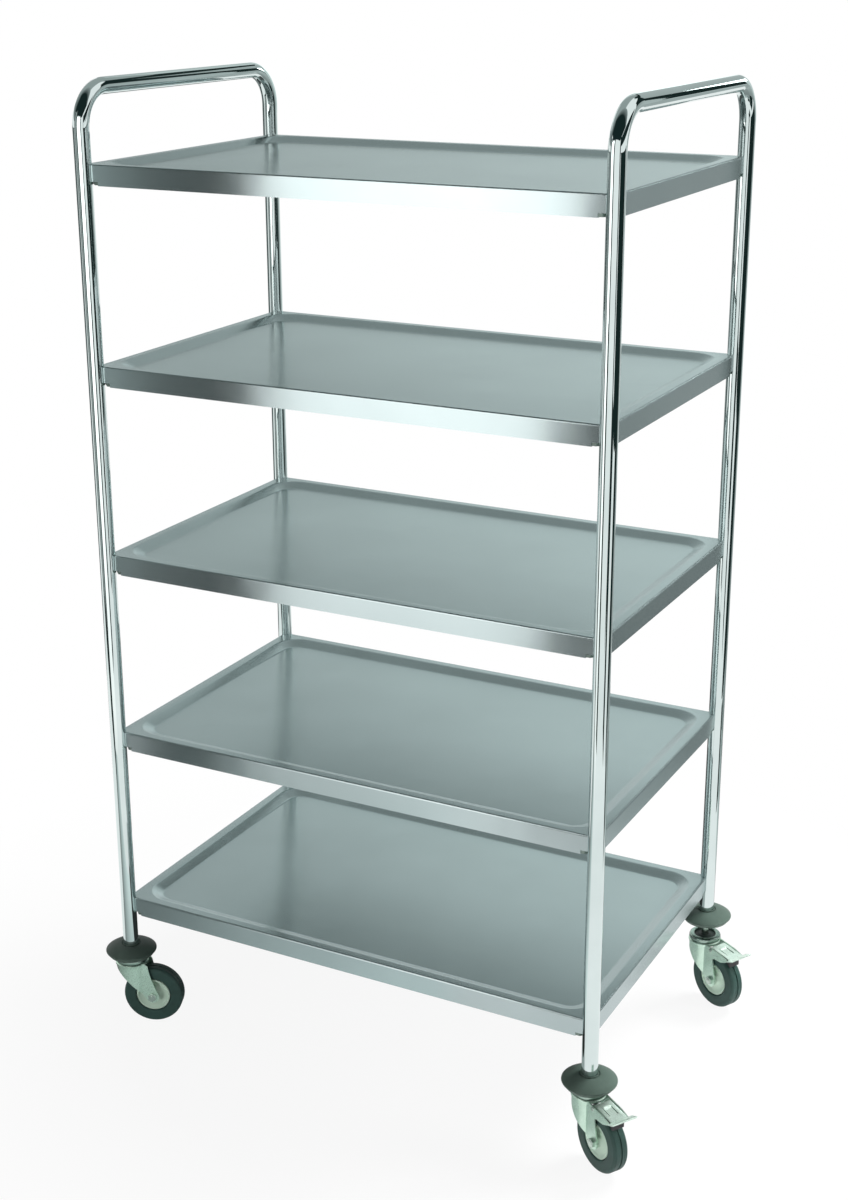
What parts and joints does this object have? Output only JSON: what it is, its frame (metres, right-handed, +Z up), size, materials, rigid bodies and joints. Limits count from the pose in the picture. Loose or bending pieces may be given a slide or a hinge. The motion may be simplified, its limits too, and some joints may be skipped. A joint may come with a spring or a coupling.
{
  "type": "serving trolley",
  "caption": "Tall stainless serving trolley: bent tube end frames with push handles carry sunk tray shelves on swivel casters, some braked, with bumper discs.",
  "frame": {"origin": "on the floor, midway between the four legs' axes", "axes": "+X along the long side to the right-hand handle, +Y from the front to the back, +Z up"},
  "size_m": [0.9677, 0.6389, 1.55],
  "materials": {
    "polished_steel": "mirror polished stainless tube",
    "satin_steel": "satin stainless sheet with a fine grain along its length",
    "bracket_steel": "plain rolled stainless sheet",
    "bright_zinc": "bright zinc plate",
    "head_zinc": "dull dark zinc plate",
    "fork_zinc": "satin zinc plate on pressed steel",
    "bumper_rubber": "matt grey rubber",
    "tyre_rubber": "dark grey non-marking rubber",
    "shoe_rubber": "black rubber",
    "wheel_plastic": "pale grey moulded plastic",
    "plug_plastic": "black moulded plastic"
  },
  "bodies": {
    "trolley": {"left_end_frame": "polished_steel", "right_end_frame": "polished_steel", "bottom_shelf": "satin_steel", "bottom_shelf_brackets": "bracket_steel", "fourth_shelf": "satin_steel", "fourth_shelf_brackets": "bracket_steel", "middle_shelf": "satin_steel", "middle_shelf_brackets": "bracket_steel", "second_shelf": "satin_steel", "second_shelf_brackets": "bracket_steel", "top_shelf": "satin_steel", "top_shelf_brackets": "bracket_steel", "shelf_screws": "bright_zinc", "rivet_nuts": "bright_zinc", "front_left_bumper": "bumper_rubber", "front_left_expander_plug": "plug_plastic", "front_left_kingpin": "bright_zinc", "front_left_swivel_head": "head_zinc", "front_right_bumper": "bumper_rubber", "front_right_expander_plug": "plug_plastic", "front_right_kingpin": "bright_zinc", "front_right_swivel_head": "head_zinc", "rear_left_bumper": "bumper_rubber", "rear_left_expander_plug": "plug_plastic", "rear_left_kingpin": "bright_zinc", "rear_left_swivel_head": "head_zinc", "rear_right_bumper": "bumper_rubber", "rear_right_expander_plug": "plug_plastic", "rear_right_kingpin": "bright_zinc", "rear_right_swivel_head": "head_zinc"},
    "front_left_caster": {"front_left_fork": "fork_zinc", "front_left_swivel_balls": "bright_zinc", "front_left_axle_bolt": "bright_zinc", "front_left_axle_nut": "bright_zinc"},
    "front_left_wheel": {"front_left_wheel_core": "wheel_plastic", "front_left_tyre": "tyre_rubber"},
    "front_right_caster": {"front_right_fork": "fork_zinc", "front_right_swivel_balls": "bright_zinc", "front_right_axle_bolt": "bright_zinc", "front_right_axle_nut": "bright_zinc", "front_right_brake_pin": "bright_zinc"},
    "front_right_wheel": {"front_right_wheel_core": "wheel_plastic", "front_right_tyre": "tyre_rubber"},
    "front_right_brake": {"front_right_brake_pedal": "bright_zinc", "front_right_brake_shoe": "shoe_rubber"},
    "rear_left_caster": {"rear_left_fork": "fork_zinc", "rear_left_swivel_balls": "bright_zinc", "rear_left_axle_bolt": "bright_zinc", "rear_left_axle_nut": "bright_zinc"},
    "rear_left_wheel": {"rear_left_wheel_core": "wheel_plastic", "rear_left_tyre": "tyre_rubber"},
    "rear_right_caster": {"rear_right_fork": "fork_zinc", "rear_right_swivel_balls": "bright_zinc", "rear_right_axle_bolt": "bright_zinc", "rear_right_axle_nut": "bright_zinc", "rear_right_brake_pin": "bright_zinc"},
    "rear_right_wheel": {"rear_right_wheel_core": "wheel_plastic", "rear_right_tyre": "tyre_rubber"},
    "rear_right_brake": {"rear_right_brake_pedal": "bright_zinc", "rear_right_brake_shoe": "shoe_rubber"}
  },
  "joints": [
    {"name": "front_left_swivel", "type": "hinge", "parent": "trolley", "child": "front_left_caster", "pos_m": [-0.4175, -0.2575, 0.1117], "axis": [0, 0, 1], "continuous": true},
    {"name": "front_left_roll", "type": "hinge", "parent": "front_left_caster", "child": "front_left_wheel", "pos_m": [-0.38426, -0.24366, 0.05], "axis": [0.3843, -0.9232, 0], "continuous": true},
    {"name": "front_right_swivel", "type": "hinge", "parent": "trolley", "child": "front_right_caster", "pos_m": [0.4175, -0.2575, 0.1117], "axis": [0, 0, 1], "continuous": true},
    {"name": "front_right_roll", "type": "hinge", "parent": "front_right_caster", "child": "front_right_wheel", "pos_m": [0.44806, -0.27652, 0.05], "axis": [-0.5284, -0.849, 0], "continuous": true},
    {"name": "front_right_brake_press", "type": "hinge", "parent": "front_right_caster", "child": "front_right_brake", "pos_m": [0.44637, -0.27547, 0.1065], "axis": [0.5284, 0.849, 0], "range_deg": [0, 5]},
    {"name": "rear_left_swivel", "type": "hinge", "parent": "trolley", "child": "rear_left_caster", "pos_m": [-0.4175, 0.2575, 0.1117], "axis": [0, 0, 1], "continuous": true},
    {"name": "rear_left_roll", "type": "hinge", "parent": "rear_left_caster", "child": "rear_left_wheel", "pos_m": [-0.38801, 0.27815, 0.05], "axis": [0.5736, -0.8192, 0], "continuous": true},
    {"name": "rear_right_swivel", "type": "hinge", "parent": "trolley", "child": "rear_right_caster", "pos_m": [0.4175, 0.2575, 0.1117], "axis": [0, 0, 1], "continuous": true},
    {"name": "rear_right_roll", "type": "hinge", "parent": "rear_right_caster", "child": "rear_right_wheel", "pos_m": [0.44929, 0.2406, 0.05], "axis": [-0.4695, -0.8829, 0], "continuous": true},
    {"name": "rear_right_brake_press", "type": "hinge", "parent": "rear_right_caster", "child": "rear_right_brake", "pos_m": [0.44752, 0.24154, 0.1065], "axis": [0.4695, 0.8829, 0], "range_deg": [0, 5]}
  ]
}
